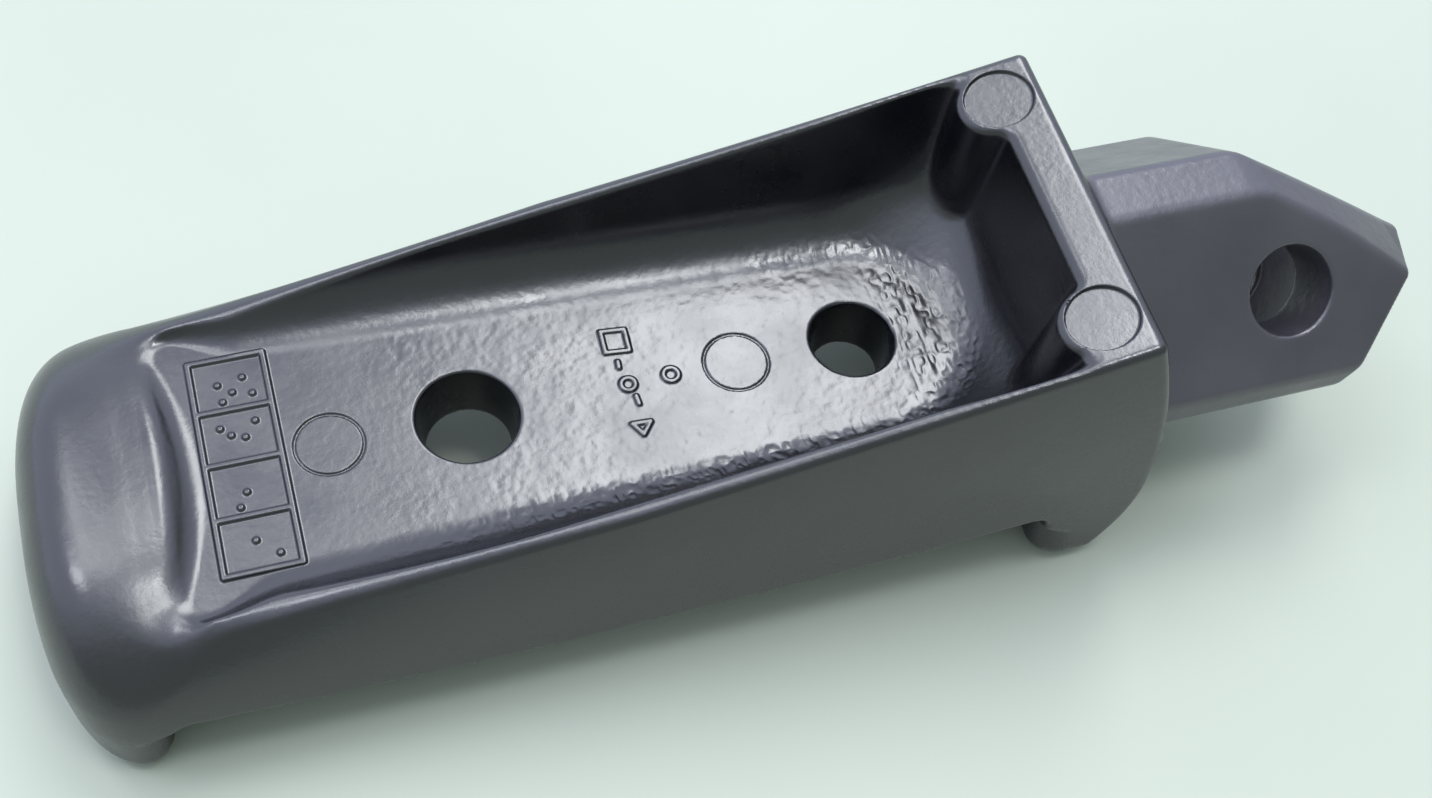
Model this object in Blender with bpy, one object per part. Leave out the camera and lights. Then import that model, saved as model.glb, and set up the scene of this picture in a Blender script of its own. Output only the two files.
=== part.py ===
"""Rider's footrest bar: one aluminium die casting, lying pad side down with its hollow underside up.

X runs from the rounded tip to the hinge fork, Y across the bar and Z up.
Lengths below are in millimetres from the inner pad screw hole, at the level of the trough floor.
"""
import math

import bmesh
import bpy
from mathutils import Matrix, Vector

MM = 0.001

# Where the bar's own zero point, the inner pad screw hole at floor level, sits over its footprint
PLACE = (-23.9, 0.25, 14.5)

# Overall shape of the loaf-like body
TIP_X = -37.2
ROOT_X = 56.4
HALF_WIDTH = 18.9
LOAF_Y = -0.25
WIDEST_Z = -9.0
LIP_BOTTOM_Z = -14.5
SEAT_Z = -5.5
SKIRT_Z = -7.35
SKIRT_LOWEST_X = -3.0
SKIRT_CURVE = 0.0009
SKIRT_THICKNESS = 1.7
BOTTOM_ROUND = 2.0

# Rim of the trough, which climbs from the tip to the hinge end
RIM_HALF_TIP = 14.3
RIM_HALF_ROOT = 15.8
RIM_WIDEN_END_X = 10.0
RIM_START_X = -26.0
RIM_Z_AT_ORIGIN = 5.0
RIM_SLOPE = 0.19
RIM_CURVE = 0.00045
RIM_THICKNESS = 1.05

# Swollen tip
SWELL_X = -31.5
SWELL_TOP_Z = 3.7
SWELL_FADE_X = -16.0
TIP_ROUND_X = -27.0
TIP_MID_Z = -5.5
TIP_FLAT = 0.995

# End wall and hooked lip at the hinge end
END_TOP_X = 53.2
END_BULGE_X = 56.4
END_BULGE_Z = -3.0
HOOK_FOOT_X = 53.2
HOOK_INNER_X = 47.7
TIP_LIP_INNER_X = -28.2
LIP_FILLET = 2.0

# Trough
TROUGH_Y = -0.12
FLOOR_HALF_AT_ORIGIN = 10.0
FLOOR_TAPER = 0.035
FLOOR_END = 8.75
FLOOR_TIP_X = -23.0
TIP_ARC_DEPTH = 3.0
TIP_WALL_RUN = 1.28
WALL_FILLET = 4.5
WALL_FILLET_TIP = 3.35
FILLET_GROWTH_X = (-20.0, 4.0)
WALL_DRAFT = 0.21
END_DRAFT = 0.1
CORNER_POWERS = (2.0, 8.0)
CORNER_HEIGHTS = (0.8, 11.0)

# Round bosses in the trough's corners, their tops a little below the rim
BOSS = (49.45, 11.6)
BOSS_RADIUS = 3.45
BOSS_DRAFT = 0.05
BOSS_DROP = 0.3

# Pad screw holes, wide on the trough side
SCREW_PITCH = 34.6
INNER_HOLE_RADII = (4.4, 3.68)
OUTER_HOLE_RADII = (3.82, 2.97)

# Hinge fork: a block turned 45 degrees about X, with the pivot bore square to its near face
PIVOT = (70.7, -9.2, 8.85)
FORK_THICKNESS = 17.5
FORK_TOP_V = 12.5
FORK_BOTTOM_V = -10.1
FORK_ROOT_U = -17.5
TOP_BEVEL_V = 9.1
BOTTOM_BEVEL_V = -8.2
CHEEK = 6.1
SLOT_WIDTH = 5.3
SLOT_ROOT_U = -8.0
SLOT_TOP_V = 8.0
PIVOT_RADIUS = 4.0
PIVOT_CHAMFER = 0.35
TIP_NOSE = (11.9, -0.8)
TIP_HEEL = (6.7, -8.3)
TIP_SHOULDER = (-2.2, 9.05)
NOSE_BACK = (14.3, 2.5, -5.0)
BROW_BACK = (-3.0, 12.5)

RING_HALF = 16
POCKET_SIDE = 12
POCKET_ARC = 20


def clear_scene():
    for item in list(bpy.data.objects):
        bpy.data.objects.remove(item, do_unlink=True)


def rim_height(x):
    x = max(x, RIM_START_X)
    return RIM_Z_AT_ORIGIN + RIM_SLOPE * x + RIM_CURVE * x * x


def rim_half(x):
    t = (x - RIM_START_X) / (RIM_WIDEN_END_X - RIM_START_X)
    t = min(max(t, 0.0), 1.0)
    return RIM_HALF_TIP + (RIM_HALF_ROOT - RIM_HALF_TIP) * t


def rounded_end(x, start, end, power):
    """1 before start, shrinking to 0 at end like the side of a superellipse."""
    s = (start - x) / (start - end)
    s = min(max(s, 0.0), TIP_FLAT)
    return (1.0 - s ** power) ** (1.0 / power)


def swell(x):
    """Height of the middle of the loaf above its rim, zero along the trough."""
    full = SWELL_TOP_Z - rim_height(RIM_START_X)
    t = (x - SWELL_X) / (SWELL_FADE_X - SWELL_X)
    t = min(max(t, 0.0), 1.0)
    return full * 0.5 * (1.0 + math.cos(math.pi * t))


def section(x):
    """Closed ring of (y, z) points for the loaf at x, bottom middle first."""
    top_half = rim_half(x)
    top_z = rim_height(x)
    drop = HALF_WIDTH - top_half
    rise = top_z - WIDEST_Z
    radius = (rise * rise + drop * drop) / (2.0 * drop)
    sweep = math.asin(rise / radius)
    half = [(HALF_WIDTH - BOTTOM_ROUND, LIP_BOTTOM_Z)]
    for i in range(1, 4):
        a = math.radians(30.0 * i)
        y = HALF_WIDTH - BOTTOM_ROUND + BOTTOM_ROUND * math.sin(a)
        z = LIP_BOTTOM_Z + BOTTOM_ROUND * (1.0 - math.cos(a))
        half.append((y, z))
    for i in range(RING_HALF // 2 + 1):
        a = sweep * i / (RING_HALF // 2)
        half.append((HALF_WIDTH - radius * (1.0 - math.cos(a)), WIDEST_Z + radius * math.sin(a)))
    for i in range(1, 6):
        y = top_half * (1.0 - i / 6.0)
        half.append((y, top_z + swell(x) * (1.0 - (y / top_half) ** 2)))
    width = rounded_end(x, TIP_ROUND_X, TIP_X, 3.0)
    height = rounded_end(x, SWELL_X, TIP_X, 2.3)
    half = [(y * width, TIP_MID_Z + (z - TIP_MID_Z) * height) for y, z in half]
    top = (0.0, TIP_MID_Z + (top_z + swell(x) - TIP_MID_Z) * height)
    bottom = (0.0, TIP_MID_Z + (LIP_BOTTOM_Z - TIP_MID_Z) * height)
    return [bottom] + half + [top] + [(-y, z) for y, z in reversed(half)]


def stretch_box(bm, low, high):
    """Fit a unit cube between two corners given in millimetres."""
    size = [(b - a) * MM for a, b in zip(low, high)]
    middle = [(a + b) * 0.5 * MM for a, b in zip(low, high)]
    matrix = Matrix.Translation(middle) @ Matrix.Diagonal((*size, 1.0))
    bmesh.ops.transform(bm, matrix=matrix, verts=bm.verts)


def loft(name, rings, frame=None):
    """Closed solid through rings of equally many points, with flat ends."""
    bm = bmesh.new()
    loops = [[bm.verts.new(Vector(p) * MM) for p in ring] for ring in rings]
    count = len(loops[0])
    for low, high in zip(loops, loops[1:]):
        for i in range(count):
            j = (i + 1) % count
            bm.faces.new((low[i], low[j], high[j], high[i]))
    bm.faces.new(list(reversed(loops[0])))
    bm.faces.new(loops[-1])
    return as_object(name, bm, frame)


def as_object(name, bm, frame=None):
    """Finish a solid given in the bar's own axes, or in those of frame."""
    bmesh.ops.recalc_face_normals(bm, faces=bm.faces)
    mesh = bpy.data.meshes.new(name)
    bm.to_mesh(mesh)
    bm.free()
    mesh.transform(Matrix.Translation(Vector(PLACE) * MM) @ (frame or Matrix()))
    item = bpy.data.objects.new(name, mesh)
    bpy.context.scene.collection.objects.link(item)
    return item


def body_stations():
    steep = 12
    stations = []
    for i in range(steep + 1):
        s = math.sin(0.5 * math.pi * i / steep)
        stations.append(TIP_ROUND_X - (TIP_ROUND_X - TIP_X) * s * TIP_FLAT)
    stations.reverse()
    x = TIP_ROUND_X + 2.0
    while x < RIM_WIDEN_END_X:
        stations.append(x)
        x += 3.0
    while x < ROOT_X:
        stations.append(x)
        x += 8.0
    stations.append(ROOT_X + 2.0)
    return stations


def body_loaf():
    rings = [[(x, y + LOAF_Y, z) for y, z in section(x)] for x in body_stations()]
    return loft("footrest_bar", rings)


def prism_y(name, outline):
    """Straight solid across the whole width from an (x, z) outline."""
    reach = HALF_WIDTH + 4.0
    rings = [[(x, y, z) for x, z in outline] for y in (-reach, reach)]
    return loft(name, rings)


def arc(cx, cz, radius, start, end, steps):
    points = []
    for i in range(steps + 1):
        a = math.radians(start + (end - start) * i / steps)
        points.append((cx + radius * math.cos(a), cz + radius * math.sin(a)))
    return points


def skirt_edge(x):
    """Level of the lower edge of the side walls, which bow down a little below the pad seat."""
    return SKIRT_Z + SKIRT_CURVE * (x - SKIRT_LOWEST_X) ** 2


def seat_cutter():
    """Space between the two lips, right across the bar."""
    low = LIP_BOTTOM_Z - 3.0
    left = TIP_LIP_INNER_X
    right = HOOK_INNER_X
    r = LIP_FILLET
    outline = [(left, low)] + arc(left + r, skirt_edge(left + r) - r, r, 180.0, 90.0, 5)
    steps = 12
    for i in range(1, steps):
        x = left + r + (right - left - 2.0 * r) * i / steps
        outline.append((x, skirt_edge(x)))
    outline += arc(right - r, skirt_edge(right - r) - r, r, 90.0, 0.0, 5) + [(right, low)]
    return prism_y("cut_pad_space", outline)


def recess_cutter():
    """Flat seat for the pad between the side walls' lower edges."""
    bm = bmesh.new()
    bmesh.ops.create_cube(bm, size=1.0)
    half = HALF_WIDTH - SKIRT_THICKNESS
    low = (TIP_LIP_INNER_X + LIP_FILLET, LOAF_Y - half, SKIRT_Z - 3.0)
    high = (HOOK_INNER_X - LIP_FILLET, LOAF_Y + half, SEAT_Z)
    stretch_box(bm, low, high)
    return as_object("cut_pad_recess", bm)


def end_cutter():
    """Everything beyond the bulging end wall and the back of the hook."""
    far = ROOT_X + 10.0
    top = rim_height(END_TOP_X) + 8.0
    outline = [(far, LIP_BOTTOM_Z - 3.0), (far, top)]
    steps = 12
    low = LIP_BOTTOM_Z - 3.0
    for i in range(steps + 1):
        z = top + (low - top) * i / steps
        span = (rim_height(END_TOP_X) if z > END_BULGE_Z else LIP_BOTTOM_Z) - END_BULGE_Z
        reach = END_BULGE_X - (END_TOP_X if z > END_BULGE_Z else HOOK_FOOT_X)
        t = (z - END_BULGE_Z) / span
        outline.append((END_BULGE_X - reach * t * t, z))
    return prism_y("cut_end", outline)


def ease(x, start, end):
    """0 before start and 1 after end, with a smooth step between."""
    t = min(max((x - start) / (end - start), 0.0), 1.0)
    return t * t * (3.0 - 2.0 * t)


def wall_offset(x, z, draft):
    """How far a trough wall stands out from the floor's edge at height z."""
    fillet = WALL_FILLET_TIP + (WALL_FILLET - WALL_FILLET_TIP) * ease(x, *FILLET_GROWTH_X)
    if z < fillet:
        return math.sqrt(fillet ** 2 - (fillet - z) ** 2)
    return fillet + draft * (z - fillet)


def trough_half(x, z):
    """Half width of the trough, which leaves at least the rim's thickness."""
    free = FLOOR_HALF_AT_ORIGIN - FLOOR_TAPER * x + wall_offset(x, z, WALL_DRAFT)
    return min(free, rim_half(x) - RIM_THICKNESS)


def trough_ring(z):
    """Plan outline of the trough at height z: sides, a rounded hinge end and a shallow tip arc."""
    tip_x = FLOOR_TIP_X - TIP_WALL_RUN * z
    start = tip_x - TIP_ARC_DEPTH
    sides = []
    for i in range(POCKET_SIDE):
        x = start + (SCREW_PITCH - start) * i / POCKET_SIDE
        sides.append((x, trough_half(x, z)))
    low, high = CORNER_POWERS
    power = low + (high - low) * ease(z, *CORNER_HEIGHTS)
    across = trough_half(SCREW_PITCH, z)
    along = FLOOR_END + wall_offset(SCREW_PITCH, z, END_DRAFT)
    plan = [(x, -y) for x, y in sides]
    for i in range(POCKET_ARC + 1):
        a = -0.5 * math.pi + math.pi * i / POCKET_ARC
        c = max(math.cos(a), 0.0) ** (2.0 / power)
        s = math.copysign(abs(math.sin(a)) ** (2.0 / power), a)
        plan.append((SCREW_PITCH + along * c, across * s))
    plan += reversed(sides)
    wide = trough_half(start, z)
    for i in range(1, 8):
        y = wide * (1.0 - i / 4.0)
        plan.append((tip_x - TIP_ARC_DEPTH * (y / wide) ** 2, y))
    return [(x, y + TROUGH_Y, z) for x, y in plan]


def trough_cutter():
    heights = [0.0, 0.15, 0.5, 1.2, 2.2, 3.3, 4.5, 7.0, 9.0, 11.0, 14.0, 18.0, 24.0]
    return loft("cut_trough", [trough_ring(z) for z in heights])


def corner_boss(name, side):
    """Drafted round post from the trough floor up to just under the sloping rim."""
    middle, across = BOSS
    slope = RIM_SLOPE + 2.0 * RIM_CURVE * middle
    top = rim_height(middle) - BOSS_DROP
    foot = BOSS_RADIUS + BOSS_DRAFT * top
    circle = arc(0.0, 0.0, 1.0, 0.0, 360.0, 32)[:-1]
    low = [(middle + foot * a, side * across + foot * b, -1.0) for a, b in circle]
    head = []
    for a, b in circle:
        out = BOSS_RADIUS * a
        head.append((middle + out, side * across + BOSS_RADIUS * b, top + slope * out))
    return loft(name, [low, head])


def cone_cutter(name, x, radii):
    """Screw hole through the floor, at its stated radii on the two faces."""
    top_z = 3.0
    low_z = SEAT_Z - 3.0
    slope = (radii[0] - radii[1]) / -SEAT_Z
    rings = []
    for z in (low_z, top_z):
        radius = radii[0] + slope * z
        rings.append([(x + a, b, z) for a, b in arc(0.0, 0.0, radius, 0.0, 360.0, 48)[:-1]])
    return loft(name, rings)


def fork_frame():
    """Matrix from fork axes (u along the bar, v up the near face, w out of it) to the bar's axes."""
    s = math.sqrt(0.5)
    columns = Matrix(((1.0, 0.0, 0.0), (0.0, s, -s), (0.0, s, s)))
    return Matrix.Translation(Vector(PIVOT) * MM) @ columns.to_4x4()


def slice_off(bm, point, normal):
    geometry = list(bm.verts) + list(bm.edges) + list(bm.faces)
    cut = bmesh.ops.bisect_plane(
        bm, geom=geometry, plane_co=Vector(point) * MM, plane_no=Vector(normal), clear_outer=True, dist=1e-7)
    edges = [g for g in cut["geom_cut"] if isinstance(g, bmesh.types.BMEdge)]
    bmesh.ops.contextual_create(bm, geom=edges)


def outward(a, b):
    """In-plane normal to the right of the line from a to b."""
    return (b[1] - a[1], a[0] - b[0], 0.0)


def fork_block():
    bm = bmesh.new()
    bmesh.ops.create_cube(bm, size=1.0)
    low = (FORK_ROOT_U, FORK_BOTTOM_V, -FORK_THICKNESS)
    high = (NOSE_BACK[0] + 6.0, FORK_TOP_V, 0.0)
    stretch_box(bm, low, high)
    nose = Vector((*TIP_NOSE, 0.0))
    shoulder = Vector((*TIP_SHOULDER, 0.0))
    brow = (nose - shoulder).cross(Vector(NOSE_BACK) - nose)
    slice_off(bm, (0.0, TOP_BEVEL_V, 0.0), (0.0, 1.0, 1.0))
    slice_off(bm, (0.0, BOTTOM_BEVEL_V, 0.0), (0.0, -1.0, 1.0))
    slice_off(bm, nose, brow if brow.z > 0.0 else -brow)
    slice_off(bm, (*BROW_BACK, 0.0), Vector(outward(BROW_BACK, NOSE_BACK[:2])) * -1.0)
    slice_off(bm, (*TIP_HEEL, 0.0), outward(TIP_HEEL, TIP_NOSE))
    return as_object("fork_block", bm, fork_frame())


def slot_cutter():
    """Gap between the fork's two cheeks, open below and at the end, closed by a web on top."""
    low = (SLOT_ROOT_U, FORK_BOTTOM_V - 3.0, -CHEEK - SLOT_WIDTH)
    high = (NOSE_BACK[0] + 9.0, SLOT_TOP_V, -CHEEK)
    corners = [(low[0], low[1]), (high[0], low[1]), (high[0], high[1]), (low[0], high[1])]
    rings = [[(u, v, w) for u, v in corners] for w in (low[2], high[2])]
    return loft("cut_slot", rings, fork_frame())


def pivot_cutter():
    rings = []
    profile = [(3.0, PIVOT_RADIUS + PIVOT_CHAMFER + 3.0), (-PIVOT_CHAMFER, PIVOT_RADIUS)]
    profile.append((-FORK_THICKNESS - 3.0, PIVOT_RADIUS))
    for w, radius in profile:
        rings.append([(a, b, w) for a, b in arc(0.0, 0.0, radius, 0.0, 360.0, 48)[:-1]])
    return loft("cut_pivot", rings, fork_frame())


def combine(target, tool, operation):
    modifier = target.modifiers.new(tool.name, "BOOLEAN")
    modifier.operation = operation
    modifier.solver = "EXACT"
    modifier.object = tool
    tool.hide_render = True
    tool.display_type = "WIRE"


def black_paint():
    material = bpy.data.materials.new("black_paint")
    material.use_nodes = True
    shader = material.node_tree.nodes["Principled BSDF"]
    shader.inputs["Base Color"].default_value = (0.012, 0.012, 0.015, 1.0)
    shader.inputs["Roughness"].default_value = 0.35
    return material


def build():
    clear_scene()
    bar = body_loaf()
    for cutter in (seat_cutter(), recess_cutter(), end_cutter(), trough_cutter()):
        combine(bar, cutter, "DIFFERENCE")
    combine(bar, corner_boss("near_boss", -1.0), "UNION")
    combine(bar, corner_boss("far_boss", 1.0), "UNION")
    combine(bar, cone_cutter("cut_inner_hole", 0.0, INNER_HOLE_RADII), "DIFFERENCE")
    combine(bar, cone_cutter("cut_outer_hole", SCREW_PITCH, OUTER_HOLE_RADII), "DIFFERENCE")
    combine(bar, fork_block(), "UNION")
    combine(bar, slot_cutter(), "DIFFERENCE")
    combine(bar, pivot_cutter(), "DIFFERENCE")
    bar.data.materials.append(black_paint())


build()
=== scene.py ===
"""A bare cast footrest bar in satin black, lying with its hollow underside up on a pale bench."""

import math

import bpy
import numpy as np
from mathutils import Matrix, Vector


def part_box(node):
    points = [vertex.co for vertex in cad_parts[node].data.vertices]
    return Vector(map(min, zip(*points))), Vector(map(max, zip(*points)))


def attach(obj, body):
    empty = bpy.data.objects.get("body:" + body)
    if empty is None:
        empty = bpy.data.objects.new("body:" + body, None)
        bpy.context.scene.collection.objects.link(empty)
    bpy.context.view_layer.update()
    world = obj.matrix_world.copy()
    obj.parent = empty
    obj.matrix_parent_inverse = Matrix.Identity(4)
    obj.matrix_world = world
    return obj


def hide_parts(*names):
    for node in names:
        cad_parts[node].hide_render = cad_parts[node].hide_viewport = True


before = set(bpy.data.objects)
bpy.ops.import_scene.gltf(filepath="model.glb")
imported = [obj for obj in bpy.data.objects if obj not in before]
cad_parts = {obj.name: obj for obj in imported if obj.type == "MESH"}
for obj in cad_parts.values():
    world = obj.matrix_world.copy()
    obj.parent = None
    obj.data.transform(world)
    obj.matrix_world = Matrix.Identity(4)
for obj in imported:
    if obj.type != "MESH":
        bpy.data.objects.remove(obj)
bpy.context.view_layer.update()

MM = 0.001

# All lengths below are millimetres, measured from the tip-side screw hole at the level of the
# trough floor: x runs towards the fork, y away from the camera and z up.
CAD_CORNER_TO_HOLE = (37.149, 19.15, 14.5)
ORIGIN = Vector(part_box("footrest_bar")[0]) / MM + Vector(CAD_CORNER_TO_HOLE)

# Sampling: the grid's step, its far limits beyond fork and rim, and how many layers go at a time
GRID_STEP = 0.25
GRID_END_X = 86.0
GRID_TOP_Z = 18.0
SLAB = 12

# Loaf-like outside, whose rim climbs and widens away from the tip
TIP_X = -37.2
HALF_WIDTH = 18.9
LOAF_Y = -0.25
WIDEST_Z = -9.0
LIP_BOTTOM_Z = -14.5
RIM_HALF_TIP = 14.3
RIM_HALF_ROOT = 15.8
RIM_WIDEN_END_X = 10.0
RIM_START_X = -26.0
RIM_Z_AT_ORIGIN = 5.0
RIM_SLOPE = 0.19
RIM_CURVE = 0.00045
SWELL_X = -31.5
SWELL_TOP_Z = 3.7
SWELL_FADE_X = -16.0
TIP_ROUND_X = -27.0
TIP_MID_Z = -5.5
RIM_CORNER_TIP = 3.5
RIM_CORNER = 0.6
CREST_TIP = 2.8
CREST = 0.4
CREST_END = 0.8
BOTTOM_CORNER = 2.2
END_CORNER = 0.9

# End wall, lips and the space for the pad between them
END_TOP_X = 53.2
END_BULGE_X = 56.4
END_BULGE_Z = -3.0
END_TOP_Z = 16.4
HOOK_INNER_X = 47.7
TIP_LIP_INNER_X = -28.2
SEAT_Z = -5.5
SKIRT_Z = -7.35
SKIRT_LOWEST_X = -3.0
SKIRT_CURVE = 0.0009
RECESS_HALF = 17.2
RECESS_MARGIN = 2.0
SEAT_EDGE = 0.6
LIP_EDGE = 3.4
PAD_DEEP_CORNER = 0.8

# Trough, narrowing slightly to a rounded end, with a tip wall that rolls over a crown
SCREW_PITCH = 34.6
FLOOR_HALF = 10.0
FLOOR_TAPER = 0.035
TROUGH_Y = -0.12
FLOOR_END = 9.3
WALL_BASE = 3.5
WALL_BASE_TIP = 2.6
WALL_DRAFT = 0.21
END_DRAFT = 0.1
FLOOR_POWER = 2.0
RIM_POWER = 8.0
TIP_CROWN_X = -31.3
TIP_CROWN_Z = 3.75
TIP_CROWN_RADIUS = 11.0
TIP_ARC_DEPTH = 3.0
TIP_ARC_HALF = 13.0
TIP_FILLET = 0.8
FILLET_TO_BASE = 0.78
BOSS = (49.45, 11.6)
BOSS_RADIUS = 3.45
BOSS_DRAFT = 0.05

# Screw holes as (x, radius at the floor, radius at the pad seat)
HOLES = ((0.0, 4.4, 3.68), (SCREW_PITCH, 3.82, 2.97))

# Fork, in axes turned 45 degrees about x through the pivot: u along x, v and w across
PIVOT = (70.7, -9.2, 8.85)
PIVOT_BORE = 4.0
SLOT_MIDDLE = -8.75
SLOT_HALF = 2.65
SLOT_TOP_V = 8.0
SLOT_ROOT_U = -8.0
FORK_ROOT_U = -17.5
EDGE = 0.45
DIAGONAL = math.sqrt(0.5)
SWELL_MIDDLE_U = 4.8
SWELL_HALF_U = 7.5

# Flat faces of the fork as (u, v, w) of the outward direction, distance and height of its swell.
# The face w = 0, which the pivot bore opens on, comes first in fork().
FORK_FACES = (
    (0.0, DIAGONAL, DIAGONAL, 9.1 * DIAGONAL, 0.0),
    (0.0, 1.0, 0.0, 12.5, 0.0),
    (0.4433, 0.6346, 0.6319, 4.768, 0.45),
    (0.5005, 0.8658, 0.0, 9.321, 0.0),
    (0.8218, -0.5698, 0.0, 10.23526, 0.0),
    (0.0, -DIAGONAL, DIAGONAL, 8.2 * DIAGONAL, 0.0),
    (0.0, -1.0, 0.0, 10.1, 0.0),
    (0.0, 0.0, -1.0, 17.5, 0.0),
)

# Foundry marks: a date grid with dots, two ejector-pin rings, two pin ends on the bosses and plain
# strokes and loops. Each line is (half width, height).
GRID_X = (-21.74, -15.5)
GRID_Y = 10.13
GRID_CELLS = 4
GRID_LINE = (0.38, 0.24)
DOTS = (
    (-17.5, 8.0), (-19.6, 7.6), (-18.5, 6.7), (-16.9, 6.3), (-19.4, 5.9),
    (-17.1, 3.6), (-20.0, 3.4), (-19.2, 2.6), (-18.1, 2.2),
    (-18.8, -2.9), (-19.5, -4.2),
    (-18.8, -7.4), (-17.1, -8.9),
)
DOT_LINE = (0.42, 0.22)
RINGS_X = (-11.63, 23.8)
RING_RADIUS = 2.86
RING_GROOVE = (0.17, 0.16)
RING_SINK = 0.02
STROKES = (
    (13.0, 5.6, 15.1, 5.4), (15.1, 5.4, 15.0, 3.2), (15.0, 3.2, 12.9, 3.4), (12.9, 3.4, 13.0, 5.6),
    (13.7, 2.3, 13.65, 1.7), (14.35, -1.4, 14.4, -2.2),
    (13.3, -4.0, 14.9, -4.1), (14.9, -4.1, 14.0, -5.2), (14.0, -5.2, 13.3, -4.0),
)
STROKE_LINE = (0.34, 0.2)
LOOPS = ((14.0, -0.1, 0.62), (17.85, 0.0, 0.66))
LOOP_LINE = (0.32, 0.2)
PIN_RADIUS = 2.96
PIN_SINK = 0.35


def round_max(a, b, r):
    """Greater of two distances, with their crease rounded to radius r."""
    u = np.maximum(r + a, 0.0)
    v = np.maximum(r + b, 0.0)
    return np.minimum(-r, np.maximum(a, b)) + np.sqrt(u * u + v * v)


def round_min(a, b, r):
    """Lesser of two distances, with their crease rounded to radius r."""
    return -round_max(-a, -b, r)


def ramp(x, start, end):
    """Smooth step from 0 at start to 1 at end."""
    t = np.clip((x - start) / (end - start), 0.0, 1.0)
    return t * t * (3.0 - 2.0 * t)


def between(first, last, share):
    """Value that goes from first to last as share goes from 0 to 1."""
    return first + (last - first) * share


def superellipse(x, start, end, power):
    """Share of the full size left at x, falling from 1 at start to nearly 0 at end."""
    s = np.clip((start - x) / (start - end), 0.0, 0.9995)
    return (1.0 - s ** power) ** (1.0 / power)


def rim_height(x):
    """Height of the rim, which climbs in a shallow curve from the tip to the end wall."""
    x = np.maximum(x, RIM_START_X)
    return RIM_Z_AT_ORIGIN + RIM_SLOPE * x + RIM_CURVE * x * x


def loaf(x, y, z):
    """Outside of the bar without its fork, still solid all through."""
    width = superellipse(x, TIP_ROUND_X, TIP_X, 3.0)
    height = superellipse(x, SWELL_X, TIP_X, 2.3)
    across = np.abs(y - LOAF_Y) / width
    level = TIP_MID_Z + (z - TIP_MID_Z) / height
    widened = np.clip((x - RIM_START_X) / (RIM_WIDEN_END_X - RIM_START_X), 0.0, 1.0)
    top_half = between(RIM_HALF_TIP, RIM_HALF_ROOT, widened)
    top_z = rim_height(x)
    drop = HALF_WIDTH - top_half
    rise = top_z - WIDEST_Z
    radius = (rise * rise + drop * drop) / (2.0 * drop)
    above = np.maximum(level - WIDEST_Z, 0.0)
    outward = np.maximum(across - HALF_WIDTH + radius, 0.0)
    side = (np.sqrt(outward * outward + above * above) - radius) * width
    fade = np.clip((x - SWELL_X) / (SWELL_FADE_X - SWELL_X), 0.0, 1.0)
    swell = (SWELL_TOP_Z - rim_height(RIM_START_X)) * 0.5 * (1.0 + np.cos(math.pi * fade))
    top = (level - top_z - swell * (1.0 - (across / top_half) ** 2)) * height
    bottom = (LIP_BOTTOM_Z - level) * height
    corner = between(RIM_CORNER_TIP, RIM_CORNER, ramp(x, -31.0, -22.0))
    body = round_max(round_max(side, top, corner), bottom, BOTTOM_CORNER)
    reach = np.where(z > END_BULGE_Z, END_TOP_Z - END_BULGE_Z, END_BULGE_Z - LIP_BOTTOM_Z)
    away = (z - END_BULGE_Z) / reach
    end = x - END_BULGE_X + (END_BULGE_X - END_TOP_X) * away * away
    body = round_max(body, end, END_CORNER)
    return np.maximum(body, TIP_X - x)


def trough(x, y, z):
    """Hollow of the underside, with drafted walls and a filleted floor."""
    base = between(WALL_BASE_TIP, WALL_BASE, ramp(x, -20.0, 4.0))
    side = FLOOR_HALF - FLOOR_TAPER * np.minimum(x, SCREW_PITCH) + base + WALL_DRAFT * z
    end = FLOOR_END + base + END_DRAFT * z
    power = between(FLOOR_POWER, RIM_POWER, ramp(z, 0.8, 11.0))
    beyond = np.maximum(x - SCREW_PITCH, 0.0) * side / end
    across = np.abs(y - TROUGH_Y)
    radial = (beyond ** power + across ** power) ** (1.0 / power)
    wall = (radial - side) / math.hypot(1.0, WALL_DRAFT)
    past_crown = np.maximum(x - TIP_CROWN_X + TIP_ARC_DEPTH * (y / TIP_ARC_HALF) ** 2, 0.0)
    tip = TIP_CROWN_RADIUS - np.hypot(past_crown, z - TIP_CROWN_Z + TIP_CROWN_RADIUS)
    plan = round_max(wall, tip, 2.5)
    boss = np.hypot(x - BOSS[0], np.abs(y) - BOSS[1]) - BOSS_RADIUS - BOSS_DRAFT * (END_TOP_Z - z)
    plan = round_max(plan, -boss, 0.8)
    fillet = between(TIP_FILLET, base / FILLET_TO_BASE, ramp(x, -23.5, -17.0))
    return round_max(plan, -z, fillet)


def pad_space(x, y, z):
    """Room for the pad on the bench side, between the tip lip and the hook at the end wall."""
    skirt = SKIRT_Z + SKIRT_CURVE * (x - SKIRT_LOWEST_X) ** 2
    ends = np.maximum(TIP_LIP_INNER_X - x, x - HOOK_INNER_X)
    across = round_max(ends, z - skirt, 2.0)
    inner = np.maximum(ends + RECESS_MARGIN, np.abs(y - LOAF_Y) - RECESS_HALF)
    return np.minimum(across, round_max(inner, z - SEAT_Z, PAD_DEEP_CORNER))


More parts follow.
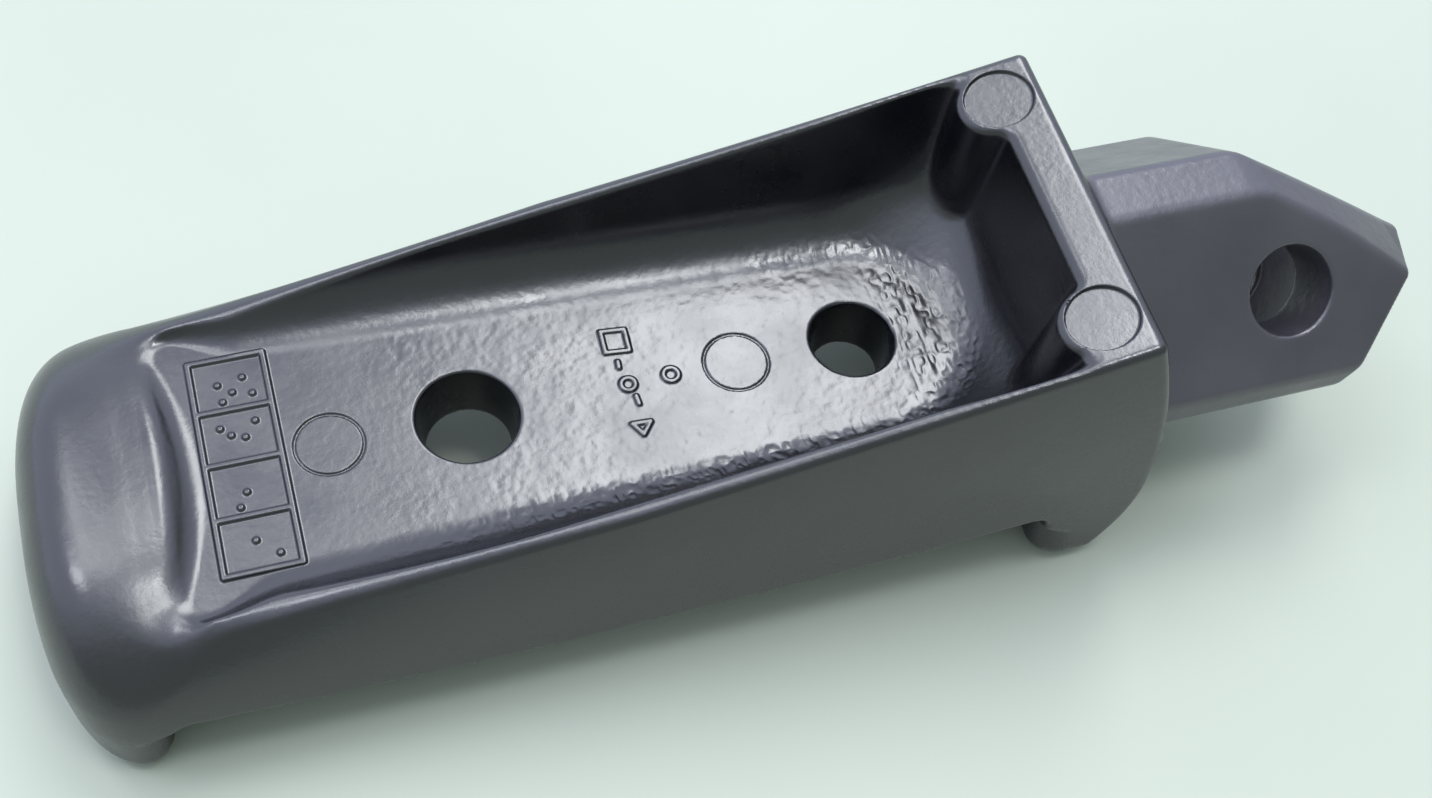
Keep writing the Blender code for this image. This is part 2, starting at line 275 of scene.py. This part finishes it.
def fork(x, y, z):
    """Hinge block turned 45 degrees, slotted into two cheeks and bored for the pivot."""
    u = x - PIVOT[0]
    v = ((y - PIVOT[1]) + (z - PIVOT[2])) * DIAGONAL
    w = ((z - PIVOT[2]) - (y - PIVOT[1])) * DIAGONAL
    swell = np.maximum(1.0 - ((u - SWELL_MIDDLE_U) / SWELL_HALF_U) ** 2, 0.0)
    block = w
    for along_u, along_v, along_w, distance, swell_height in FORK_FACES:
        face = along_u * u + along_v * v + along_w * w - distance - swell_height * swell
        block = round_max(block, face, EDGE)
    block = np.maximum(block, FORK_ROOT_U - u)
    slot = round_max(np.abs(w - SLOT_MIDDLE) - SLOT_HALF, v - SLOT_TOP_V, 0.8)
    slot = round_max(slot, SLOT_ROOT_U - u, 1.5)
    block = round_max(block, -slot, EDGE)
    return round_max(block, PIVOT_BORE - np.sqrt(u * u + v * v), 0.35)


def metal(x, y, z):
    """Signed distance-like field, in millimetres: negative inside the casting."""
    crest = between(CREST_TIP, CREST, ramp(x, -28.0, -22.5))
    crest = between(crest, CREST_END, ramp(x, 44.0, 47.0))
    body = round_max(loaf(x, y, z), -trough(x, y, z), crest)
    lip_edge = between(SEAT_EDGE, LIP_EDGE, ramp(z, -7.0, -9.0))
    body = round_max(body, -pad_space(x, y, z), lip_edge)
    for hole_x, top_radius, low_radius in HOLES:
        radius = top_radius + (top_radius - low_radius) / -SEAT_Z * z
        body = round_max(body, radius - np.sqrt((x - hole_x) ** 2 + y * y), 0.3)
    near_fork = x > 48.0
    if near_fork.any():
        joined = body.copy()
        block = fork(x[near_fork], y[near_fork], z[near_fork])
        joined[near_fork] = round_min(body[near_fork], block, 0.7)
        body = joined
    return body - marks(x, y, z)


def ridge(distance, half_width, height):
    """Rounded raised line where distance is under half_width."""
    return height * (1.0 - ramp(np.abs(distance), half_width * 0.35, half_width))


def segment(x, y, ax, ay, bx, by):
    """Distance in plan to a straight stroke."""
    dx, dy = bx - ax, by - ay
    t = np.clip(((x - ax) * dx + (y - ay) * dy) / (dx * dx + dy * dy), 0.0, 1.0)
    return np.hypot(x - ax - t * dx, y - ay - t * dy)


def floor_marks(x, y):
    """Height of the marks on the trough floor, at points given in plan."""
    height = np.zeros_like(x)
    inside = (x > GRID_X[0] - 0.5) & (x < GRID_X[1] + 0.5)
    if inside.any():
        gx, gy = x[inside], y[inside]
        grid = np.zeros_like(gx)
        for line in GRID_X:
            distance = np.hypot(gx - line, np.maximum(np.abs(gy) - GRID_Y, 0.0))
            grid = np.maximum(grid, ridge(distance, *GRID_LINE))
        for k in range(GRID_CELLS + 1):
            level = GRID_Y * (1.0 - 2.0 * k / GRID_CELLS)
            distance = segment(gx, gy, GRID_X[0], level, GRID_X[1], level)
            grid = np.maximum(grid, ridge(distance, *GRID_LINE))
        for dot_x, dot_y in DOTS:
            grid = np.maximum(grid, ridge(np.hypot(gx - dot_x, gy - dot_y), *DOT_LINE))
        height[inside] = grid
    for ring_x in RINGS_X:
        r = np.hypot(x - ring_x, y)
        disc = 1.0 - ramp(r, RING_RADIUS - 0.16, RING_RADIUS + 0.04)
        height = height - ridge(r - RING_RADIUS, *RING_GROOVE) - RING_SINK * disc
    raised = np.zeros_like(x)
    for stroke in STROKES:
        raised = np.maximum(raised, ridge(segment(x, y, *stroke), *STROKE_LINE))
    for loop_x, loop_y, radius in LOOPS:
        distance = np.hypot(x - loop_x, y - loop_y) - radius
        raised = np.maximum(raised, ridge(distance, *LOOP_LINE))
    return height + raised


def marks(x, y, z):
    """Height of all the foundry marks above the plain surface."""
    height = np.zeros_like(x)
    on_floor = (np.abs(z) < 1.0) & (np.abs(y) < 11.0) & (x > -23.0) & (x < 30.0)
    if on_floor.any():
        height[on_floor] = floor_marks(x[on_floor], y[on_floor])
    on_rim = (x > 45.0) & (x < 53.5) & (z > 13.5)
    if on_rim.any():
        r = np.hypot(x[on_rim] - BOSS[0], np.abs(y[on_rim]) - BOSS[1])
        height[on_rim] = -PIN_SINK * (1.0 - ramp(r, PIN_RADIUS - 0.12, PIN_RADIUS + 0.05))
    return height


def surface_net(field, corner, step):
    """Quad mesh of the zero surface of a sampled field, one vertex in each cell it crosses."""
    shape = np.array(field.shape)
    stride = np.array([shape[1] * shape[2], shape[2], 1])
    inside = field < 0.0
    rings, crossings = [], []
    for axis in range(3):
        first = [slice(None)] * 3
        second = [slice(None)] * 3
        first[axis] = slice(None, -1)
        second[axis] = slice(1, None)
        crossing = inside[tuple(first)] != inside[tuple(second)]
        nodes = np.argwhere(crossing)
        a = field[tuple(first)][crossing]
        b = field[tuple(second)][crossing]
        points = nodes.astype(np.float64)
        points[:, axis] += a / (a - b)
        base = nodes @ stride
        back_b = stride[(axis + 1) % 3]
        back_c = stride[(axis + 2) % 3]
        ring = np.stack([base - back_b - back_c, base - back_c, base, base - back_b], axis=1)
        ring[a > 0.0] = ring[a > 0.0][:, ::-1]
        rings.append(ring.ravel())
        crossings.append(np.repeat(points, 4, axis=0))
    _, index = np.unique(np.concatenate(rings), return_inverse=True)
    points = np.concatenate(crossings)
    counts = np.bincount(index)
    vertices = np.stack([np.bincount(index, points[:, k]) / counts for k in range(3)], axis=1)
    return np.array(corner) + vertices * step, index.reshape(-1, 4)


def sample_metal(step):
    """Values of the field on a regular grid round the whole casting, and the grid's low corner."""
    margin = 2.5 * step
    low = np.array([TIP_X, -HALF_WIDTH + LOAF_Y, LIP_BOTTOM_Z]) - margin
    high = np.array([GRID_END_X, HALF_WIDTH + margin, GRID_TOP_Z])
    counts = np.ceil((high - low) / step).astype(int) + 1
    axes = [low[k] + step * np.arange(counts[k]) for k in range(3)]
    field = np.empty(counts, dtype=np.float32)
    for start in range(0, counts[0], SLAB):
        x, y, z = np.meshgrid(axes[0][start:start + SLAB], axes[1], axes[2], indexing="ij")
        field[start:start + SLAB] = metal(x, y, z)
    return field, low


def onto_surface(points, rounds):
    """Pull vertices onto the exact surface along the field's gradient, and return their normals."""
    eps = 0.01
    limit = 0.5 * GRID_STEP
    for _ in range(rounds):
        value = metal(*points.T)
        slope = np.empty_like(points)
        for k in range(3):
            ahead, behind = points.copy(), points.copy()
            ahead[:, k] += eps
            behind[:, k] -= eps
            slope[:, k] = (metal(*ahead.T) - metal(*behind.T)) / (2.0 * eps)
        size = np.maximum((slope * slope).sum(1), 0.05)
        move = (value / size)[:, None] * slope
        length = np.linalg.norm(move, axis=1)
        move *= np.minimum(1.0, limit / np.maximum(length, 1e-9))[:, None]
        points = points - move
    return points, slope / np.maximum(np.linalg.norm(slope, axis=1), 1e-9)[:, None]


def relax(points, quads, normals):
    """Even out vertex spacing within the surface."""
    edges = np.concatenate([quads[:, [k, (k + 1) % 4]] for k in range(4)])
    count = len(points)
    number = np.bincount(edges[:, 0], minlength=count)
    number += np.bincount(edges[:, 1], minlength=count)
    mean = np.empty_like(points)
    for k in range(3):
        total = np.bincount(edges[:, 0], points[edges[:, 1], k], count)
        total += np.bincount(edges[:, 1], points[edges[:, 0], k], count)
        mean[:, k] = total / number
    shift = mean - points
    shift -= (shift * normals).sum(1)[:, None] * normals
    return points + 0.6 * shift


def quad_edges(quads, count):
    """Start and end of each quad's four sides, and one number that stands for each side."""
    ends = np.stack([quads, np.roll(quads, -1, axis=1)], axis=2)
    keys = np.sort(ends, axis=2)
    return ends, keys[..., 0].astype(np.int64) * count + keys[..., 1]


def refine(points, quads, chosen, parts):
    """Split the chosen quads into parts by parts.

    Their neighbours stay whole and take up the added edge points as n-gons. Also returned is which
    points were added and are free to move.
    """
    picked = quads[chosen]
    ends, code = quad_edges(picked, len(points))
    unique, where = np.unique(code, return_inverse=True)
    where = where.reshape(-1, 4)
    flipped = ends[..., 0] > ends[..., 1]
    a, b = points[unique // len(points)], points[unique % len(points)]
    steps = (np.arange(1, parts) / parts)[None, :, None]
    edge_points = a[:, None] * (1.0 - steps) + b[:, None] * steps
    edge_start = len(points)
    face_start = edge_start + len(unique) * (parts - 1)

    def on_side(side, i):
        step = np.where(flipped[:, side], parts - i - 1, i - 1)
        return edge_start + where[:, side] * (parts - 1) + step

    number = len(picked)
    grid = np.empty((number, parts + 1, parts + 1), dtype=np.int64)
    c0, c1, c2, c3 = (points[picked[:, k]] for k in range(4))
    inner = []
    first_inner = face_start + np.arange(number) * (parts - 1) ** 2
    for i in range(1, parts):
        for j in range(1, parts):
            s, t = i / parts, j / parts
            inner.append(c0 * (1 - s) * (1 - t) + c1 * s * (1 - t) + c2 * s * t + c3 * (1 - s) * t)
            grid[:, i, j] = first_inner + (i - 1) * (parts - 1) + (j - 1)
    inner = np.stack(inner, axis=1).reshape(-1, 3)
    grid[:, 0, 0], grid[:, parts, 0] = picked[:, 0], picked[:, 1]
    grid[:, parts, parts], grid[:, 0, parts] = picked[:, 2], picked[:, 3]
    for i in range(1, parts):
        grid[:, i, 0] = on_side(0, i)
        grid[:, parts, i] = on_side(1, i)
        grid[:, parts - i, parts] = on_side(2, i)
        grid[:, 0, parts - i] = on_side(3, i)
    around = [grid[:, :-1, :-1], grid[:, 1:, :-1], grid[:, 1:, 1:], grid[:, :-1, 1:]]
    small = np.stack(around, axis=-1).reshape(-1, 4)

    rest = quads[~chosen]
    rest_ends, rest_code = quad_edges(rest, len(points))
    place = np.clip(np.searchsorted(unique, rest_code), 0, len(unique) - 1)
    shared = unique[place] == rest_code
    touching = shared.any(axis=1)
    polygons = []
    hanging = set()
    neighbours = (rest[touching], shared[touching], place[touching], rest_ends[touching])
    for face, has, at, pair in zip(*neighbours):
        loop = []
        for side in range(4):
            loop.append(int(face[side]))
            if has[side]:
                start = edge_start + int(at[side]) * (parts - 1)
                run = list(range(start, start + parts - 1))
                if pair[side][0] > pair[side][1]:
                    run.reverse()
                loop.extend(run)
                hanging.update(run)
        polygons.append(loop)
    every = np.concatenate([points, edge_points.reshape(-1, 3), inner])
    free = np.zeros(len(every), dtype=bool)
    free[len(points):] = True
    free[list(hanging)] = False
    return every, np.concatenate([rest[~touching], small]), polygons, free


def lattice(i, j, k):
    """Repeatable pseudo-random value in -1..1 for each whole-number point."""
    h = (i * 374761393 + j * 668265263 + k * 1274126177) & 0xFFFFFFFF
    h = ((h ^ (h >> 13)) * 1103515245) & 0xFFFFFFFF
    h = ((h ^ (h >> 15)) * 2246822519) & 0xFFFFFFFF
    return (h ^ (h >> 16)) / 2147483648.0 - 1.0


def noise(points, size):
    """Smooth value noise with lumps of the given size."""
    scaled = points / size
    cell = np.floor(scaled).astype(np.int64)
    f = scaled - cell
    f = f * f * (3.0 - 2.0 * f)
    total = np.zeros(len(points))
    for dx in (0, 1):
        for dy in (0, 1):
            for dz in (0, 1):
                weight = (f[:, 0] if dx else 1 - f[:, 0]) * (f[:, 1] if dy else 1 - f[:, 1])
                weight = weight * (f[:, 2] if dz else 1 - f[:, 2])
                total += weight * lattice(cell[:, 0] + dx, cell[:, 1] + dy, cell[:, 2] + dz)
    return total


PLAIN_GRAIN = 0.0015
FLOOR_GRAIN = 0.011
PEBBLE = 0.075


def roughness_height(points):
    """Height of the cast skin's lumps, strongest low on the near wall and by the end wall."""
    x, y, z = points.T
    side = FLOOR_HALF - FLOOR_TAPER * np.minimum(x, SCREW_PITCH)
    beyond = np.maximum(x - SCREW_PITCH, 0.0) * side / FLOOR_END
    radial = np.hypot(beyond, y - TROUGH_Y)
    in_trough = ramp(x, -24.0, -21.0) * (1.0 - ramp(z, 2.5, 5.0)) * ramp(z, -1.0, -0.5)
    band = np.exp(-((radial - side - 0.6) / 1.1) ** 2)
    near = np.where(y < 0.0, ramp(x, -16.0, 5.0), 0.5 * ramp(x, 22.0, 36.0))
    end_zone = ramp(x, 36.5, 40.0) * (1.0 - ramp(radial, side + 1.0, side + 2.6))
    strong = in_trough * np.maximum(band * near, 0.8 * end_zone)
    on_floor = in_trough * (1.0 - ramp(radial, side, side + 2.0))
    grain = between(PLAIN_GRAIN, FLOOR_GRAIN, on_floor * ramp(x, -14.0, 8.0))
    lumps = 0.7 * noise(points, 0.45) + noise(points, 0.9)
    drawn = points * np.array([1.0, 0.55, 1.0])
    pebble = np.abs(noise(drawn, 0.5)) + 0.6 * noise(drawn, 1.0)
    return grain * lumps + PEBBLE * strong * pebble


def build_casting():
    """Points, quads and n-gons of the whole casting, in millimetres."""
    field, low = sample_metal(GRID_STEP)
    points, quads = surface_net(field, low, GRID_STEP)
    points, normals = onto_surface(points, 2)
    for _ in range(2):
        points = relax(points, quads, normals)
        points, normals = onto_surface(points, 1)
    x, y, z = points[quads].mean(axis=1).T
    floor = (x > -23.5) & (x < 47.5) & (np.abs(y) < 12.5) & (z > -0.4) & (z < 1.6)
    floor &= trough(x, y, z) > -1.0
    boss_tops = (z > 13.5) & (np.hypot(x - BOSS[0], np.abs(y) - BOSS[1]) < 3.7)
    parts = 3
    points, quads, polygons, free = refine(points, quads, floor | boss_tops, parts)
    points[free], _ = onto_surface(points[free], 2)
    _, normals = onto_surface(points, 1)
    points = points + normals * roughness_height(points)[:, None]
    # The lumps stay inside the box, so that none pokes through the bench.
    points = np.maximum(points, (TIP_X, -HALF_WIDTH + LOAF_Y, LIP_BOTTOM_Z))
    return points, quads, polygons


def mesh_object(name, points, quads, polygons):
    """Smooth-shaded object in the frame's metres, from points in this script's millimetres."""
    mesh = bpy.data.meshes.new(name)
    world = (points + np.array(ORIGIN)) * MM
    faces = quads.tolist() + polygons
    mesh.from_pydata(world.tolist(), [], faces)
    mesh.polygons.foreach_set("use_smooth", np.ones(len(mesh.polygons), dtype=bool))
    mesh.update()
    item = bpy.data.objects.new(name, mesh)
    bpy.context.scene.collection.objects.link(item)
    return item


class Nodes:
    """Short-hand for building a shader tree."""

    def __init__(self, name):
        self.material = bpy.data.materials.new(name)
        self.material.use_nodes = True
        self.tree = self.material.node_tree
        self.shader = self.tree.nodes["Principled BSDF"]

    def add(self, kind, inputs=(), **settings):
        node = self.tree.nodes.new(kind)
        for key, value in settings.items():
            setattr(node, key, value)
        for key, value in dict(inputs).items():
            if isinstance(value, bpy.types.NodeSocket):
                self.tree.links.new(value, node.inputs[key])
            else:
                node.inputs[key].default_value = value
        return node

    def noise(self, place, scale, detail=2.0, rough=0.5):
        values = {"Vector": place, "Scale": scale, "Detail": detail, "Roughness": rough}
        return self.add("ShaderNodeTexNoise", values).outputs["Fac"]

    def ramp(self, value, low, high, start=0.0, end=1.0):
        values = {"Value": value, "From Min": start, "From Max": end, "To Min": low, "To Max": high}
        return self.add("ShaderNodeMapRange", values).outputs["Result"]

    def mix(self, factor, a, b):
        node = self.add("ShaderNodeMix", data_type="RGBA")
        self.tree.links.new(factor, node.inputs["Factor"])
        node.inputs["A"].default_value = a
        node.inputs["B"].default_value = b
        return node.outputs["Result"]

    def link(self, value, socket):
        self.tree.links.new(value, self.shader.inputs[socket])


def paint(name, dark, light, rough_low, rough_high, grain, depth, ior):
    """Satin black paint over a cast skin, with a fine grain of the given depth in metres."""
    n = Nodes(name)
    place = n.add("ShaderNodeTexCoord").outputs["Object"]
    broad = n.noise(place, 60.0, 3.0)
    n.link(n.mix(n.ramp(broad, 0.0, 1.0, 0.35, 0.65), dark, light), "Base Color")
    patch = n.noise(place, 180.0, 4.0, 0.6)
    n.link(n.ramp(patch, rough_low, rough_high, 0.3, 0.7), "Roughness")
    fine = n.noise(place, grain, 3.0, 0.55)
    bump = n.add("ShaderNodeBump", {"Height": fine, "Strength": 1.0, "Distance": depth})
    n.link(bump.outputs["Normal"], "Normal")
    n.shader.inputs["IOR"].default_value = ior
    return n.material


def bench():
    """Pale bench top, clouded very slightly."""
    n = Nodes("bench_top")
    place = n.add("ShaderNodeTexCoord").outputs["Object"]
    cloud = n.noise(place, 12.0, 4.0)
    blend = n.ramp(cloud, 0.0, 1.0, 0.3, 0.7)
    n.link(n.mix(blend, (0.43, 0.475, 0.39, 1.0), (0.47, 0.505, 0.42, 1.0)), "Base Color")
    n.shader.inputs["Roughness"].default_value = 0.45
    bpy.ops.mesh.primitive_plane_add(size=3.0, location=(0.0, 0.0, 0.0))
    floor = bpy.context.object
    floor.name = "bench"
    floor.data.materials.append(n.material)


# Name, place in metres, width, height, power in watts and colour of each light panel
LAMPS = (
    ("ceiling_panel", (0.24, 0.48, 0.86), 0.28, 0.55, 3.9, (0.98, 1.0, 1.0)),
    ("overhead", (0.13, -0.09, 0.86), 0.20, 0.16, 1.6, (0.98, 1.0, 1.0)),
    ("strip", (-0.20, 0.33, 0.87), 0.18, 0.50, 1.1, (0.95, 0.98, 1.0)),
    ("window", (-0.40, 0.14, 0.82), 0.20, 0.26, 1.1, (0.92, 0.95, 1.0)),
)
LAMP_TARGET = (0.0, 0.0, 0.01)


def area_light(name, place, target, width, height, power, colour):
    data = bpy.data.lights.new(name, "AREA")
    data.shape = "RECTANGLE"
    data.size = width
    data.size_y = height
    data.energy = power
    data.color = colour
    lamp = bpy.data.objects.new(name, data)
    lamp.location = place
    lamp.rotation_mode = "QUATERNION"
    towards = Vector(target) - Vector(place)
    lamp.rotation_quaternion = towards.to_track_quat("-Z", "Y")
    bpy.context.scene.collection.objects.link(lamp)


# Surround: the way to its bright part, where it starts and is full, and both colours
SKY_BRIGHT_WAY = (-0.25, 0.75, 0.6)
SKY_EDGE = (0.05, 0.5)
SKY_DIM = (0.38, 0.44, 0.43, 1.0)
SKY_BRIGHT = (1.05, 1.15, 1.45, 1.0)
SKY_STRENGTH = 1.1


def sky():
    """Soft studio surround, brighter overhead and on the far side than low down in front."""
    world = bpy.data.worlds.new("studio")
    world.use_nodes = True
    tree = world.node_tree
    facing = tree.nodes.new("ShaderNodeVectorMath")
    facing.operation = "DOT_PRODUCT"
    tree.links.new(tree.nodes.new("ShaderNodeTexCoord").outputs["Generated"], facing.inputs[0])
    facing.inputs[1].default_value = SKY_BRIGHT_WAY
    where = tree.nodes.new("ShaderNodeMapRange")
    where.inputs["From Min"].default_value = SKY_EDGE[0]
    where.inputs["From Max"].default_value = SKY_EDGE[1]
    tree.links.new(facing.outputs["Value"], where.inputs["Value"])
    blend = tree.nodes.new("ShaderNodeMix")
    blend.data_type = "RGBA"
    tree.links.new(where.outputs["Result"], blend.inputs["Factor"])
    colours = [socket for socket in blend.inputs if socket.type == "RGBA"]
    colours[0].default_value = SKY_DIM
    colours[1].default_value = SKY_BRIGHT
    back = tree.nodes["Background"]
    mixed = [socket for socket in blend.outputs if socket.type == "RGBA"]
    tree.links.new(mixed[0], back.inputs["Color"])
    back.inputs["Strength"].default_value = SKY_STRENGTH
    bpy.context.scene.world = world


def lighting():
    """Studio surround and four soft panels, all aimed at the bar."""
    sky()
    for name, place, width, height, power, colour in LAMPS:
        area_light(name, place, LAMP_TARGET, width, height, power, colour)
    bpy.context.scene.view_settings.view_transform = "Standard"


# Camera: angles in degrees, the point it looks at and its distance from there in millimetres
CAMERA_TURN = 25.942
CAMERA_ELEVATION = 58.562
CAMERA_ROLL = 10.848
CAMERA_TARGET = (20.984, -3.237, 0.0)
CAMERA_DISTANCE = 153.483
FOCAL_LENGTH = 44.8
SENSOR_WIDTH = 36.0


def camera():
    """Looks down on the bar from its near side, tilted a little about the view axis."""
    turn, elevation, roll = map(math.radians, (CAMERA_TURN, CAMERA_ELEVATION, CAMERA_ROLL))
    level = Vector((math.sin(turn), math.cos(turn), 0.0))
    forward = math.cos(elevation) * level - Vector((0.0, 0.0, math.sin(elevation)))
    right = Vector((math.cos(turn), -math.sin(turn), 0.0))
    up = right.cross(forward)
    tilted_right = math.cos(roll) * right + math.sin(roll) * up
    tilted_up = math.cos(roll) * up - math.sin(roll) * right
    target = Vector(CAMERA_TARGET) + ORIGIN
    data = bpy.data.cameras.new("camera")
    data.sensor_width = SENSOR_WIDTH
    data.lens = FOCAL_LENGTH
    data.clip_start = 0.01
    item = bpy.data.objects.new("camera", data)
    item.location = (target - forward * CAMERA_DISTANCE) * MM
    item.rotation_mode = "QUATERNION"
    axes = Matrix((tilted_right, tilted_up, -forward)).transposed()
    item.rotation_quaternion = axes.to_quaternion()
    bpy.context.scene.collection.objects.link(item)
    bpy.context.scene.camera = item


def dress(casting):
    """Black paint all over; on the faces of the fork a duller copy with a lighter base colour,
    which is painted sheen for the pale reflected light on those faces.
    """
    casting.data.materials.append(paint(
        "black_paint", (0.0015, 0.0015, 0.003, 1.0), (0.004, 0.004, 0.007, 1.0),
        0.22, 0.32, 1500.0, 0.00002, 1.85))
    # Fork faces: the same black paint, rougher, with a lighter base colour that is painted sheen
    # standing in for the pale reflected light they show.
    casting.data.materials.append(paint(
        "fork_paint_painted_sheen", (0.035, 0.032, 0.042, 1.0), (0.06, 0.055, 0.07, 1.0),
        0.27, 0.38, 1200.0, 0.00004, 1.8))
    centres = np.empty(len(casting.data.polygons) * 3)
    casting.data.polygons.foreach_get("center", centres)
    centres = centres.reshape(-1, 3) / MM - np.array(ORIGIN)
    slots = np.zeros(len(centres), dtype=np.int32)
    # Faces of the fork take the lighter copy, whose lighter colour is painted sheen.
    far = centres[:, 0] > 52.0
    slots[far] = fork(*centres[far].T) < 0.25
    casting.data.polygons.foreach_set("material_index", slots)


def main():
    casting = mesh_object("footrest_casting", *build_casting())
    dress(casting)
    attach(casting, "root")
    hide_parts("footrest_bar")
    bench()
    lighting()
    camera()


main()
